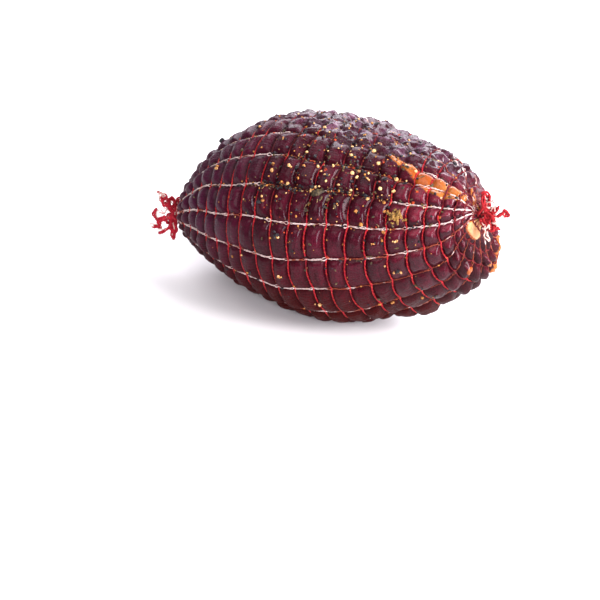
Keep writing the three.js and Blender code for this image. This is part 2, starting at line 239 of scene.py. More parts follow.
def patch_share(point, spots):
    """1 inside a chain of round spots (cord, row, radius), 0 outside."""
    share = np.zeros(len(point))
    spots = np.array(spots, float)
    for spot, next_spot in zip(spots, spots[1:] if len(spots) > 1 else spots):
        for step in np.linspace(0, 1, FAT_SPACING):
            cord, row, reach = spot + (next_spot - spot) * step
            middle = body_point(*net_place(np.array([cord]), np.array([row])))
            distance = np.linalg.norm(point - middle, axis=-1)
            outer = reach * FAT_EDGE["outside"] + FAT_EDGE["soft"]
            share = np.maximum(share, smooth(distance, outer, reach * FAT_EDGE["inside"]))
    return share


def fat_share(point):
    """1 in the waxy lump of fat, 0.85 in the other fat, 0 in the lean."""
    chains = (FAT_STREAK, FAT_RIM, FAT_STRIPE, *((spot,) for spot in FAT_SPOTS))
    share = np.max([patch_share(point, chain) for chain in chains], axis=0)
    return np.maximum(share * 0.85, patch_share(point, FAT_LUMP))


def crease_share(cell, across, ahead):
    """1 in the middle of the crease that some cells have, 0 off it and in the others."""
    drawn = CELL_CREASE[cell]
    middle = 0.3 + 2.2 * (drawn - CREASED[0]) + 0.04 * np.sin(9 * across)
    off = (ahead - middle) * HOOP_PITCH / CREASE_WIDTH
    return np.exp(-(off**2)) * smooth(drawn, *CREASED)


def lumps(point):
    """Low waves over the whole ham."""
    x, y, z = point.T
    waves = np.sin(x / LUMPS["along"] + 1) * np.sin(y / LUMPS["across"] + (z - CENTRE[2]) / LUMPS["up"])
    return LUMPS["height"] * waves


def crust_height(point, row):
    """Sharp folds and crumbs of the dried crust, less how far it has sunk."""
    folds = 1 - 2 * np.abs(rough(point * CRUST_FOLDS["squeeze"], CRUST_FOLDS["size"], 3, 3.1))
    crumbs = rough(point, CRUST_CRUMBS["size"], 3, 7.7)
    sunk = smooth(row, *CRUST_SETTLED["rows"])
    sunk = CRUST_SETTLED["least"] + (CRUST_SETTLED["most"] - CRUST_SETTLED["least"]) * sunk
    return CRUST_FOLDS["height"] * folds + CRUST_CRUMBS["height"] * crumbs - sunk


def meat_relief(cord, row):
    """Height of the meat over the smooth body and what its surface is, for each place."""
    u, turn = net_place(cord, row + bow(cord))
    point = body_point(u, turn)
    by_gather = row > LAST_ROW - 1
    across = cord % 1
    ahead = np.where(by_gather, (2 * row) % 1, row % 1)
    pitch = np.where(row < 1, FIRST_HOOP - GATHER_RING, HOOP_PITCH)
    pitch = np.where(by_gather, (HOOP_PITCH + LAST_GAP) / 2, pitch)
    cell = (np.floor(cord).astype(int) % CORDS, np.clip(np.floor(row).astype(int), 0, LAST_ROW + 1))
    to_cord = np.minimum(across, 1 - across) * 2 * math.pi * radius_at(u) / CORDS
    to_hoop = np.minimum(ahead, 1 - ahead) * pitch

    crust = crust_share(cord, row)
    fat = fat_share(point)
    pointed = smooth(row, *POINTED_ROWS)
    sagging = smooth(np.abs(cords_from(cord, SAGGING["cord"])), *SAGGING["cords_off"])
    sagging = sagging * smooth(row, *SAGGING["rows"])
    plain = (1 - 0.75 * crust) * (1 - 0.85 * fat)

    def here(everywhere, at_point, at_sag):
        return everywhere + at_point * pointed + at_sag * sagging

    arch = np.sin(math.pi * ahead) ** 0.8
    over_hoops = 1 - np.exp(-((to_hoop / (SHOULDER * CELL_SHOULDER[cell])) ** 1.5))
    over_hoops = over_hoops + (arch - over_hoops) * np.clip(here(*ROUNDNESS), 0, 1)
    over_cords = 1 - here(*CORD_DENT) * np.exp(-((to_cord / here(*CORD_DENT_WIDTH)) ** 1.4))
    cell_shape = np.sin(math.pi * across) ** 0.6 * arch
    depth = here(*GROOVE_DEPTH) * plain
    crest = here(*PILLOW_HEIGHT) + cell_shape * (CELL_UNEVEN * CELL_HEIGHT[cell] + CELL_CROWN)
    crest = crest + CELL_TIP * CELL_LEAN[cell] * (ahead - 0.5) * cell_shape
    height = -depth + (depth + crest) * over_hoops * over_cords

    crease = crease_share(cell, across, ahead) * (1 - crust) * cell_shape
    fine = ROUGH_FINE["height"] * rough(point, ROUGH_FINE["size"], 2, 4.2)
    uneven = ROUGH_COARSE["height"] * rough(point, ROUGH_COARSE["size"], 3)
    uneven = uneven + (lumps(point) + fine) * plain
    fat_height = FAT_RISE + FAT_ROUGH["height"] * rough(point, FAT_ROUGH["size"], 2, 1.3)
    height = height - CREASE_DEPTH * crease + uneven * over_hoops
    height = height + crust * crust_height(point, row)
    height = height + fat * fat_height + LUMP_RISE * smooth(fat, 0.85, 1.0)

    fade = smooth(radius_at(u), 4, 20)
    return {
        "point": point,
        "outward": outward_at(u, turn),
        "height": height * fade,
        "groove": (1 - over_hoops * over_cords) * plain * fade,
        "crust": crust,
        "fat": fat,
        "crease": crease,
    }


def lifted(found, rise=0.0):
    """Points on the meat, or that far over it."""
    return found["point"] + found["outward"] * (found["height"] + rise)[:, None]


def on_floor(points, lowest=0.0):
    """Points pressed flat where they would go below that height."""
    flat = points.copy()
    flat[:, 2] = np.maximum(flat[:, 2], lowest)
    return flat


def seats(places):
    """Points on the meat for many (cord, row) places, with the way that each faces."""
    found = meat_relief(places[:, 0].astype(float), places[:, 1].astype(float))
    return on_floor(lifted(found)), found["outward"]


def ring_middle(row):
    """The middle of a row of the net, and the way that it faces along the ham."""
    cord = np.arange(CORDS, dtype=float)
    ring = body_point(*net_place(cord, np.full(CORDS, float(row))))
    middle = ring.mean(axis=0)
    spokes = ring - middle
    facing = unit(np.cross(spokes, np.roll(spokes, -1, axis=0)).sum(axis=0))
    return middle, facing if facing[0] * (row - LAST_ROW / 2) > 0 else -facing


POINTED_GATHER = ring_middle(0)
BLUNT_GATHER = ring_middle(LAST_ROW)


# ---------------------------------------------------------------- finishes
class Amount:
    """A number that varies over a surface; sums with it become Math nodes."""

    def __init__(self, finish, socket):
        self.finish = finish
        self.socket = socket

    def math(self, operation, *values):
        sockets = dict(enumerate(values))
        return self.finish.node("ShaderNodeMath", {"operation": operation}, sockets, 0)

    def __add__(self, other):
        return self.math("ADD", self, other)

    def __radd__(self, other):
        return self.math("ADD", other, self)

    def __sub__(self, other):
        return self.math("SUBTRACT", self, other)

    def __rsub__(self, other):
        return self.math("SUBTRACT", other, self)

    def __mul__(self, other):
        return self.math("MULTIPLY", self, other)

    def __rmul__(self, other):
        return self.math("MULTIPLY", other, self)

    def __pow__(self, other):
        return self.math("POWER", self, other)

    def between(self, start, end):
        """0 where this is at start, 1 at end, smoothly between."""
        settings = {"interpolation_type": "SMOOTHSTEP"}
        sockets = {"Value": self, "From Min": start, "From Max": end}
        return self.finish.node("ShaderNodeMapRange", settings, sockets, "Result")


class Finish:
    """A material whose nodes are mixed by one method."""

    def __init__(self, name):
        self.material = bpy.data.materials.new(name)
        self.material.use_nodes = True
        self.tree = self.material.node_tree
        self.tree.nodes.clear()
        self.where = self.node("ShaderNodeTexCoord", {}, {}, "Object")

    def node(self, kind, settings, sockets, give):
        """Adds a node, sets it up, fills its sockets and gives one output as an Amount."""
        node = self.tree.nodes.new(kind)
        for setting, value in settings.items():
            setattr(node, setting, value)
        for name, value in sockets.items():
            if isinstance(value, Amount):
                self.tree.links.new(value.socket, node.inputs[name])
            else:
                node.inputs[name].default_value = value
        return Amount(self, node.outputs[give]) if node.outputs else node

    def value_of(self, attribute):
        return self.node("ShaderNodeAttribute", {"attribute_name": attribute}, {}, "Fac")

    def noise(self, grains_per_metre, detail=3.0, where=None, roughness=0.5):
        sockets = {"Vector": where or self.where, "Scale": grains_per_metre}
        sockets.update({"Detail": detail, "Roughness": roughness})
        return self.node("ShaderNodeTexNoise", {}, sockets, "Fac")

    def part(self, vector, axis):
        return self.node("ShaderNodeSeparateXYZ", {}, {0: vector}, axis)

    def scaled(self, vector, factors):
        sockets = {0: vector, 1: factors}
        return self.node("ShaderNodeVectorMath", {"operation": "MULTIPLY"}, sockets, 0)

    def mix(self, share, first, second):
        """Blend of two colours."""
        settings = {"data_type": "RGBA", "clamp_factor": True}
        return self.node("ShaderNodeMix", settings, {0: share, 6: first, 7: second}, 2)

    def bump(self, height, depth, strength=1.0, under=None):
        sockets = {"Height": height, "Distance": depth, "Strength": strength}
        if under:
            sockets["Normal"] = under
        return self.node("ShaderNodeBump", {}, sockets, "Normal")

    def surface(self, **sockets):
        """Ends the material in one Principled surface."""
        named = {name.replace("_", " "): value for name, value in sockets.items()}
        shader = self.node("ShaderNodeBsdfPrincipled", {}, named, "BSDF")
        self.node("ShaderNodeOutputMaterial", {}, {"Surface": shader}, None)
        return self.material


def colour(red, green, blue):
    """A colour given as it looks, 0 to 255, as the light that it gives back."""
    seen = np.array((red, green, blue)) / 255
    linear = np.where(seen <= 0.04045, seen / 12.92, ((seen + 0.055) / 1.055) ** 2.4)
    return (*(float(part) for part in linear), 1.0)


def palette(**shades):
    return {name: colour(*shade) for name, shade in shades.items()}


LEAN = palette(
    wine=(48, 5, 17), burgundy=(70, 9, 27), speckle=(94, 22, 40), grain=(38, 2, 16),
    # Of these, the low side's colour is painted warm bounce shade, the bloom is salt bloom with a painted
    # sheen, and the pink of the blunt end is painted light.
    pointed_end=(78, 26, 56), low_side=(58, 6, 1), bloom=(168, 126, 158), blush=(138, 42, 60),
    # The two groove colours are painted shade for the grooves.
    groove=(24, 3, 7), brown_groove=(46, 6, 6), crumbs=(34, 20, 22),
)
FAT = palette(
    edge=(112, 34, 8), amber=(142, 66, 14), honey=(166, 98, 40), waxy=(204, 152, 104), meaty=(150, 44, 18),
)
# Where the meat changes colour, in metres along the ham or over the floor; the lighter blunt end is painted
# light, and the darker, warmer low side is painted shade with painted warm bounce light.
POINTED_END_X = (0.0, -0.09)
BLUNT_END_X = (0.05, 0.085)
GLOSSY_END_X = (0.05, 0.09)
LOW_SIDE_Z = (0.062, 0.01)
SHEEN = (1.0, 0.6, 0.76, 1.0)


def cured_meat_finish():
    """Dried, leathery lean meat: wine to burgundy, dull in the grooves with painted shade there and in the
    creases, salt bloom with a painted sheen on top, painted light on the blunt end and painted warm bounce
    shade low down.
    """
    finish = Finish("cured_meat")
    groove = finish.value_of("groove")
    crust = finish.value_of("crust")
    fat = finish.value_of("fat")
    crease = finish.value_of("crease")
    net_map = finish.node("ShaderNodeUVMap", {"uv_map": "net"}, {}, "UV")
    normal = finish.node("ShaderNodeNewGeometry", {}, {}, "Normal")
    facing_up = finish.part(normal, "Z")
    along = finish.part(finish.where, "X")
    low = finish.part(finish.where, "Z").between(*LOW_SIDE_Z)

    broad = finish.noise(38, 4.0)
    grain = finish.noise(420, 4.0, roughness=0.6)
    pores = finish.noise(1300, 3.0)
    speckle = finish.noise(150, 5.0, roughness=0.65)
    crumbs = finish.noise(210, 5.0, roughness=0.62)
    pulled = finish.noise(26, 3.0, finish.scaled(net_map, (7.0, 0.7, 1.0)), 0.6)
    squeezed = finish.noise(26, 4.0, finish.scaled(net_map, (0.9, 3.0, 1.0)), 0.6)

    lean = finish.mix(broad.between(0.35, 0.68), LEAN["wine"], LEAN["burgundy"])
    lean = finish.mix(speckle.between(0.48, 0.72) * 0.3, lean, LEAN["speckle"])
    lean = finish.mix(grain.between(0.5, 0.3) * 0.4, lean, LEAN["grain"])
    lean = finish.mix(along.between(*POINTED_END_X) * 0.7, lean, LEAN["pointed_end"])
    # Painted shade with painted warm bounce light: the low side is darker and warmer.
    lean = finish.mix(low * 0.92, lean, LEAN["low_side"])
    # Salt bloom on the crust with a painted sheen: faces that look up turn a lighter lavender.
    bloom = facing_up.between(0.35, 0.98) * speckle.between(0.38, 0.7)
    lean = finish.mix(bloom * crust * 0.36, lean, LEAN["bloom"])
    # Painted light: the blunt end's upward faces are lighter and pinker, where the strong light from the
    # right falls.
    blush = along.between(*BLUNT_END_X) * facing_up.between(0.1, 0.6) * (1 - crust)
    lean = finish.mix(blush * 0.6, lean, LEAN["blush"])
    # Painted shade: the grooves and creases are darkened where shade falls.
    in_grooves = finish.mix(broad, LEAN["groove"], LEAN["brown_groove"])
    lean = finish.mix((groove + crease * 0.6) ** 1.5 * 0.92, lean, in_grooves)
    lean = finish.mix(crust * crumbs.between(0.56, 0.66) * 0.5, lean, LEAN["crumbs"])

    pale_fat = finish.mix(fat.between(0.5, 0.85), FAT["edge"], FAT["amber"])
    pale_fat = finish.mix(broad.between(0.45, 0.62) * 0.7, pale_fat, FAT["honey"])
    pale_fat = finish.mix(fat.between(0.84, 0.98) * 0.8, pale_fat, FAT["waxy"])
    pale_fat = finish.mix(speckle.between(0.6, 0.75) * 0.5, pale_fat, FAT["meaty"])
    ragged = (fat + (speckle - 0.5) * 0.9).between(0.42, 0.62)

    wrinkling = 1 - ragged * 0.8
    wrinkled = finish.bump(pulled * wrinkling, 0.0036, 0.8)
    wrinkled = finish.bump(squeezed * wrinkling, 0.0036, 0.5, wrinkled)
    leathery = finish.bump(grain * wrinkling, 0.0005, 0.5, wrinkled)
    porous = finish.bump(pores, 0.00012, 0.4, leathery)
    crusty = finish.bump(crust * crumbs, 0.003, 0.8, porous)
    shine = 0.24 + crust * 0.32 + ragged * 0.2 + along.between(*GLOSSY_END_X) * 0.2
    return finish.surface(
        Base_Color=finish.mix(ragged, lean, pale_fat),
        Roughness=0.34 + groove * 0.25 + low * 0.1,
        Normal=crusty,
        Specular_IOR_Level=0.04,
        Specular_Tint=SHEEN,
        Coat_Weight=shine * (1 - low * 0.85) * (1 - groove * 0.8),
        Coat_Roughness=0.16,
    )


# Each yarn's own colour, its flecks, the stain of meat juice and the share that is stained.
YARNS = {
    "hoop_yarn": ((168, 10, 36), (200, 56, 46), (92, 8, 22), 0.42),
    "hoop_flecks": ((210, 70, 42), (236, 140, 84), (116, 14, 20), 0.46),
    "cord_yarn": ((212, 188, 182), (246, 236, 230), (140, 62, 40), 0.44),
    "end_yarn_red": ((158, 10, 34), (196, 52, 62), (84, 6, 16), 0.4),
    "end_yarn_dark_red": ((138, 5, 16), (176, 24, 30), (64, 3, 10), 0.42),
    "end_yarn_pale": ((206, 172, 160), (236, 220, 208), (160, 64, 60), 0.46),
}


def yarn_finish(name):
    """Spun yarn: fine fibres, flecks of another colour and patches soaked with meat juice."""
    *shades, stained = YARNS[name]
    main, fleck, stain = (colour(*shade) for shade in shades)
    finish = Finish(name)
    soaked = finish.value_of("soaked")
    fibre = finish.noise(1500, 3.0)
    flecks = finish.noise(900, 2.0)
    soak = finish.noise(75, 4.0)
    yarn = finish.mix(flecks.between(0.55, 0.68) * 0.75, main, fleck)
    juice = soak + soaked * 0.36
    yarn = finish.mix(juice.between(1 - stained, 1.12 - stained), yarn, stain)
    yarn = finish.mix(fibre.between(0.5, 0.3) * 0.35, yarn, stain)
    return finish.surface(
        Base_Color=yarn,
        Roughness=0.75,
        Normal=finish.bump(fibre, 0.0003, 0.6),
        Sheen_Weight=0.04,
        Specular_IOR_Level=0.25,
    )


def crumb_finish(name, light, dark, roughness):
    """Dried spice: mottled between two colours, with a grainy broken face."""
    finish = Finish(name)
    mottle = finish.noise(900, 4.0)
    broad = finish.noise(160, 2.0)
    tone = finish.mix((mottle * 0.6 + broad * 0.4).between(0.4, 0.6), colour(*dark), colour(*light))
    broken = finish.bump(mottle, 0.0003, 0.5)
    return finish.surface(Base_Color=tone, Roughness=roughness, Normal=broken, Specular_IOR_Level=0.25)


# ---------------------------------------------------------------- pieces
def add_piece(name, mesh, finish, node):
    """Puts a finished mesh in the scene as a piece of the ham; none of it sinks into the floor."""
    for vertex in mesh.vertices:
        vertex.co.z = max(vertex.co.z, 0.0)
    piece = bpy.data.objects.new(name, mesh)
    bpy.context.collection.objects.link(piece)
    mesh.materials.clear()
    mesh.materials.append(finish)
    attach(piece, "root")
    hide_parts(node)


def mesh_from(bm, name, is_smooth=True):
    for face in bm.faces:
        face.smooth = is_smooth
    mesh = bpy.data.meshes.new(name)
    bm.to_mesh(mesh)
    bm.free()
    return mesh


CORD_CELLS = 20
LATITUDES = 240
BUNCHING = 0.5
MAP_STEP = 0.1
# The ball's circles of latitude, and the row of the net that each becomes.
ROW_AT_LATITUDE = ((0, -1.0), (6, 0.0), (14, 1.0), (219, 20.0), (234, 21.0), (240, 22.0))


def bunched(value):
    """Moves evenly spaced values nearer to whole numbers, where the grooves are."""
    return value - BUNCHING * np.sin(2 * math.pi * value) / (2 * math.pi)


def cap_points(points, cord, row, end_row, middle, facing):
    """Draws the skin past the last row in to the middle of the gather, in radial folds."""
    beyond = np.clip((row - end_row) * (1 if end_row else -1), 0, 1)
    is_cap = beyond > 0
    rim_cord = cord[is_cap]
    rim = lifted(meat_relief(rim_cord, np.full(len(rim_cord), float(end_row))))
    share = beyond[is_cap][:, None]
    fold = CAP_FOLD * np.cos(2 * math.pi * rim_cord)[:, None] * share * (1 - share) * 4
    points[is_cap] = rim * (1 - share) + middle * share + facing * (CAP_SWELL * share - fold)
    return points


def make_meat():
    bm = bmesh.new()
    bmesh.ops.create_uvsphere(bm, u_segments=CORDS * CORD_CELLS, v_segments=LATITUDES, radius=1.0)
    ball = np.array([vertex.co for vertex in bm.verts])
    longitude = np.arctan2(ball[:, 1], ball[:, 0]) % (2 * math.pi)
    latitude = np.arccos(np.clip(-ball[:, 2], -1, 1)) / math.pi * LATITUDES
    cord = longitude / (2 * math.pi) * CORDS
    cord = bunched(np.round(cord * CORD_CELLS) / CORD_CELLS)
    row = np.interp(latitude, *zip(*ROW_AT_LATITUDE))
    row = np.where((row > 1) & (row < LAST_ROW - 1), bunched(row), row)
    found = meat_relief(cord, np.clip(row, 0, LAST_ROW))
    points = cap_points(lifted(found), cord, row, 0, *POINTED_GATHER)
    points = cap_points(points, cord, row, LAST_ROW, *BLUNT_GATHER)
    for vertex, point in zip(bm.verts, points):
        vertex.co = point * MM
    net_map = bm.loops.layers.uv.new("net")
    bm.verts.index_update()
    for face in bm.faces:
        face_cords = [cord[loop.vert.index] for loop in face.loops]
        wraps = max(face_cords) - min(face_cords) > CORDS / 2
        for loop, at in zip(face.loops, face_cords):
            here = at + CORDS if wraps and at < CORDS / 2 else at
            loop[net_map].uv = (here * MAP_STEP, row[loop.vert.index] * MAP_STEP)
    bmesh.ops.recalc_face_normals(bm, faces=bm.faces)
    mesh = mesh_from(bm, "cured_meat")
    for name in ("groove", "crust", "fat", "crease"):
        layer = mesh.attributes.new(name, "FLOAT", "POINT")
        layer.data.foreach_set("value", found[name].astype(np.float32))
    add_piece("cured_meat", mesh, cured_meat_finish(), "ham")


def tubes(name, paths, thickness, sides=1):
    """One mesh of yarns, each a (points in millimetres, closed, radii, how soaked) path."""
    curve = bpy.data.curves.new(name, "CURVE")
    curve.dimensions = "3D"
    curve.bevel_depth = thickness / 2 * MM
    curve.bevel_resolution = sides
    curve.use_fill_caps = True
    for points, closed, radii, _ in paths:
        spline = curve.splines.new("POLY")
        spline.points.add(len(points) - 1)
        placed = np.concatenate([points * MM, np.ones((len(points), 1))], axis=1)
        spline.points.foreach_set("co", placed.ravel())
        spline.points.foreach_set("radius", np.broadcast_to(radii, len(points)).astype(float))
        spline.use_cyclic_u = closed
    maker = bpy.data.objects.new(name, curve)
    bpy.context.collection.objects.link(maker)
    seen = maker.evaluated_get(bpy.context.evaluated_depsgraph_get())
    mesh = bpy.data.meshes.new_from_object(seen)
    bpy.data.objects.remove(maker)
    bpy.data.curves.remove(curve)
    mesh.name = name
    mesh.shade_smooth()
    soaked = np.concatenate([np.broadcast_to(path[3], len(path[0])) for path in paths])
    if soaked.any():
        tree = KDTree(len(soaked))
        for index, point in enumerate(np.concatenate([path[0] for path in paths]) * MM):
            tree.insert(point, index)
        tree.balance()
        nearest = [tree.find(vertex.co)[1] for vertex in mesh.vertices]
        layer = mesh.attributes.new("soaked", "FLOAT", "POINT")
        layer.data.foreach_set("value", soaked[nearest].astype(np.float32))
    return mesh


HOOP_PLY = 0.7
HOOP_TWIST = 2.7
HOOP_STEP = 0.55
HOOP_WINDING = 0.36
HOOP_FLECK = 0.3
FLECK_WINDING = 0.55
HOOP_RISE = 0.3
HOOP_SUNK = {"crust": 1.7, "spice": 1.0}
HOOP_THINNING = {"row": 18, "share": 0.13, "soak": 0.35}
RING_SAMPLES = 90
YARN_FLOOR = 0.45


def frames_along(points, outward, closed):
    """Sideways direction at each point of a path that lies on the meat."""
    if closed:
        ahead = np.roll(points, -1, axis=0) - np.roll(points, 1, axis=0)
    else:
        ahead = np.gradient(points, axis=0)
    return unit(np.cross(ahead, outward))


def winding(aside, above, spin):
    """The way from the middle line to a strand that winds round it."""
    return aside * np.cos(spin)[:, None] + above * np.sin(spin)[:, None]


def slack_share(cord, row):
    """1 where the hoops have gone slack beside the blunt gather."""
    return smooth(row, 18.4, 19.6) * smooth(np.abs(cords_from(cord, -2.0)), 3.4, 2.2)


def hoop_path(row):
    """The middle line of one hoop, the way that it faces, its girth and how soaked it is."""
    ring_cords = np.linspace(0, CORDS, RING_SAMPLES, endpoint=False)
    ring = body_point(*net_place(ring_cords, np.full(RING_SAMPLES, float(row))))
    girth = np.linalg.norm(ring - np.roll(ring, 1, axis=0), axis=1).sum()
    count = max(60, int(girth / HOOP_STEP))
    cord = np.arange(count) / count * CORDS
    slack = slack_share(cord, row) * (row < EXTRA_HOOP)
    ripple = slack * (0.05 * np.sin(cord * 5.0 + row) + 0.04 * np.sin(cord * 11.3 + 2 * row))
    found = meat_relief(cord, np.clip(np.full(count, float(row)) + ripple, 0, LAST_ROW))
    buried = found["crust"] * smooth(rough(found["point"], 9.0, 2, 5.5), -0.35, 0.25) * (row < 17)
    spiced = spice_share(cord, row) * (row > 8)
    under_spice = spiced * smooth(rough(found["point"], 14.0, 2, 2.2), -0.2, 0.4)
    rise = HOOP_RISE + 0.5 * slack + 0.4 * (row < 9)
    rise = rise - HOOP_SUNK["crust"] * buried - HOOP_SUNK["spice"] * under_spice
    soaked = np.maximum(0.6 * spiced, 0.5 * found["crust"])
    soaked = soaked + HOOP_THINNING["soak"] * max(0, row - HOOP_THINNING["row"])
    return lifted(found, rise), found["outward"], girth, soaked


def make_hoops():
    """Hoops of two plies, with a thin gold fleck that winds round them."""
    plain = []
    flecks = []
    for row in (*range(LAST_ROW), EXTRA_HOOP, LAST_ROW):
        middle, outward, girth, soaked = hoop_path(row)
        aside = frames_along(middle, outward, True)
        turns = max(4, round(girth / HOOP_TWIST))
        angle = np.arange(len(middle)) / len(middle) * turns * 2 * math.pi
        thinner = min(1.0, 1 - HOOP_THINNING["share"] * (row - HOOP_THINNING["row"]))
        for paths, quarter, off, radius in (
            (plain, 0, HOOP_WINDING, thinner),
            (plain, 2, HOOP_WINDING, thinner),
            (flecks, 1, FLECK_WINDING, 1.0),
        ):
            wound = middle + winding(aside, outward, angle + quarter * math.pi / 2) * HOOP_PLY * off
            paths.append((on_floor(wound, YARN_FLOOR), True, radius, soaked))
    fleck_mesh = tubes("net_hoop_flecks", flecks, HOOP_FLECK, 0)
    add_piece("net_hoop_flecks", fleck_mesh, yarn_finish("hoop_flecks"), "net")
    hoop_mesh = tubes("net_hoops", plain, HOOP_PLY, 0)
    add_piece("net_hoops", hoop_mesh, yarn_finish("hoop_yarn"), "net")


CORD_STRAND = 0.44
CORD_STEP = 1.0
CORD_TWIST = 5.2
CORD_RISE = 0.35
CORD_WINDING = 0.3
CORD_STRAY = 0.45
CORD_SUNK = {"crust": 1.6, "spice": 0.9, "soaked": 0.35, "fat": 2.5}
EYE_PLACE = 0.87
EYE_LENGTH = 0.085
EYE_WIDTH = 0.8


def cord_soak(cord, row, point):
    """How far a lengthwise cord is soaked brown and shrunk, from 0 to 1."""
    low_end = 0.85 * smooth(row, 12.0, 14.5) * smooth(np.abs(cords_from(cord, 4.0)), 3.6, 2.6)
    under = 0.55 * smooth(np.abs(cords_from(cord, 6.5)), 4.6, 3.2)
    crusted = 0.6 * crust_share(cord, row) * smooth(row, 18.0, 16.5)
    spiced = spice_share(cord, row) * smooth(row, 8.5, 10.5)
    drawn_in = 0.5 * smooth(row, 18.5, 20.5)
    soaked = np.max([low_end, under, crusted, spiced, drawn_in], axis=0)
    patches = rough(point, 20.0, 2, 6.1) + rough(point, 5.0, 2, 9.3)
    return np.clip(soaked + 0.5 * patches, 0, 1)


def make_cords():
    """Lengthwise cords of three strands that part into a small eye before each hoop."""
    paths = []
    count = int(LAST_ROW * HOOP_PITCH / CORD_STEP)
    row = np.linspace(0, LAST_ROW, count)
    for number in range(CORDS):
        cord = np.full(count, float(number))
        found = meat_relief(cord, row)
        point, outward = found["point"], found["outward"]
        buried = found["crust"] * smooth(rough(point, 11.0, 2, 8.5), -0.3, 0.3) * smooth(row, 18.0, 16.5)
        under_spice = smooth(rough(point, 14.0, 2, 4.4), -0.2, 0.4) * spice_share(cord, row)
        under_spice = under_spice * smooth(row, 8.5, 10.5)
        soaked = cord_soak(cord, row, point)
        sunk = CORD_SUNK["crust"] * buried + CORD_SUNK["spice"] * under_spice
        sunk = sunk + CORD_SUNK["soaked"] * soaked + CORD_SUNK["fat"] * smooth(found["fat"], 0.86, 0.98)
        middle = lifted(found, CORD_RISE - sunk)
        aside = frames_along(middle, outward, False)
        eye = np.exp(-((((row + 0.5) % 1) - 0.5 + 1 - EYE_PLACE) / EYE_LENGTH) ** 2)[:, None]
        width = EYE_WIDTH * (1 + 0.35 * np.sin(2.1 * np.floor(row) + number))
        loose = 1 + 0.9 * smooth(row, 9.0, 2.0) - 0.3 * smooth(row, 18.0, 20.5)
        radii = (1.0 - 0.4 * soaked) * (0.6 + 0.4 * loose)
        for strand, side in enumerate((1, -1, 0.8)):
            spin = 2 * math.pi * (row * HOOP_PITCH / CORD_TWIST + strand / 3)
            wound = winding(aside, outward, spin) * (CORD_WINDING * loose)[:, None]
            parted = aside * (side * width)[:, None] + outward * 0.1
            strayed = aside * (CORD_STRAY * rough(point, 3.0, 2, 5.0 * strand + number))[:, None]
            line = middle + wound * (1 - eye) + parted * eye + strayed
            paths.append((on_floor(line, CORD_STRAND / 2), False, radii, soaked))
    mesh = tubes("net_cords", paths, CORD_STRAND, 0)
    add_piece("net_cords", mesh, yarn_finish("cord_yarn"), "net")


# ---------------------------------------------------------------- frayed net ends
TUFT_ROOT = 4.0
TUFT_PLY = 1.1
MAIN_YARN = {"thickness": TUFT_PLY, "stray": 0.1, "curl": 0.25}
SIDE_YARN = {"thickness": TUFT_PLY * 0.8, "stray": 0.9, "curl": 0.4}
SIDE_YARNS = 3
THIN_YARN = {"thickness": TUFT_PLY * 0.5, "stray": 0.8, "curl": 0.6}
PALE_YARN = {"thickness": TUFT_PLY * 0.55, "curl": 0.6}
KNOT_RINGS = 16
CLOSE_RINGS = 7
KNOT_YARN = 1.1
SPOKE_YARN = {"thickness": 0.45, "soaked": 0.6}
RIM_MARGIN = 0.05
# Bends of the yarns, in millimetres out along the ham, up and to the side from the gather.
POINTED_END = {
    "knot": {"place": (5.8, -2.6, 3.6), "radius": 2.6},
    "red": (
        ((5, -2.5, 3.5), (7, 1.5, 3), (8.5, 6, 2), (7.5, 9, 0), (6, 7, 0), (5.5, 2, 2)),
        ((5, -2.5, 3.5), (5, 1.5, 1.5), (4.5, 6, -3.5), (5.5, 5, -2), (6.5, 0, 1)),
        (
            (5.5, -1.5, 3.5), (8.5, 3.5, 4.5), (10.5, 6.5, 6), (11.5, 9, 5.5),
            (10.5, 10, 3), (9.5, 8, 2), (10, 6, 3.5),
        ),
        ((5.5, -3, 4), (11, -3, 7), (16, -4.5, 8), (17, -1, 8.5), (16, 3.5, 7)),
        ((11, -3, 7), (15, -5, 9), (15, -8.5, 9), (19, -8.5, 10)),
        ((5, -3.5, 4), (6.5, -6, 6), (7.5, -9, 8.5), (15, -12.5, 10.5)),
        ((5.5, -3, 4), (6, -8, 7), (3.5, -15, 10.5), (3.5, -9.5, 7.5), (4.5, -4, 4.5)),
    ),
    "pale": (
        ((9, 4, 4.5), (12, 8, 6), (13, 11.5, 5), (10, 12.5, 3.5), (14, 13, 4)),
        ((17, -8.5, 9.5), (20, -8.5, 10.5)),
        ((7, 0, 3), (9, 2, 5), (10.5, 0.5, 6), (12.5, 2.5, 6.5)),
    ),
}
BLUNT_END = {
    "knot": {"place": (4.5, 1.5, 2), "radius": 1.8},
    "red": (
        ((2, 2, 1.5), (5.5, 5, 3), (5, 10, 3.5), (4, 12.5, 0), (5.5, 11.5, -2), (6.5, 9.5, -1.5), (6, 7, 0)),
        ((2, 1.5, 2), (4, 6, 1), (6.5, 4, 1.5), (9, 3, 2), (11.5, 5.5, 0)),
        ((2, 1, 1), (6, 1, 3.5), (9.5, 0, 4.5), (9, -3, 6), (7, -2.5, 7), (5, -0.5, 6), (6, 1.5, 4.5)),
        ((2, 1, 1), (9, 0.5, 2.5), (12.5, 1, 0.5), (15, 3, -1.5), (16, 1.5, -2.5), (15, 0, -1.5)),
        ((2, 1, 1), (7, 3, 2), (10.5, 0, 3), (11, -3, 5.5), (10, -5, 8)),
        ((2, 0.5, 1.5), (7, -1, 5), (9.5, -4.5, 7), (13, -3.5, 4.5)),
    ),
    "pale": (
        ((2, 0.5, 1.5), (8.5, -2, 6), (7, -3.5, 8.5), (7.5, -6.5, 10), (9.5, -10.5, 11)),
        ((2, 3, 2), (4.5, 7.5, -1), (6.5, 6, -1.5), (8.5, 4.5, -2), (8, 3, -1)),
        ((4, 6, 1), (7, 9, 0), (9, 8.5, -1), (10, 7, -1.5), (8.5, 6, -1)),
        ((8, 0, 4), (11, -1, 4), (12.5, -2, 5), (12, -4, 5.5)),
    ),
}


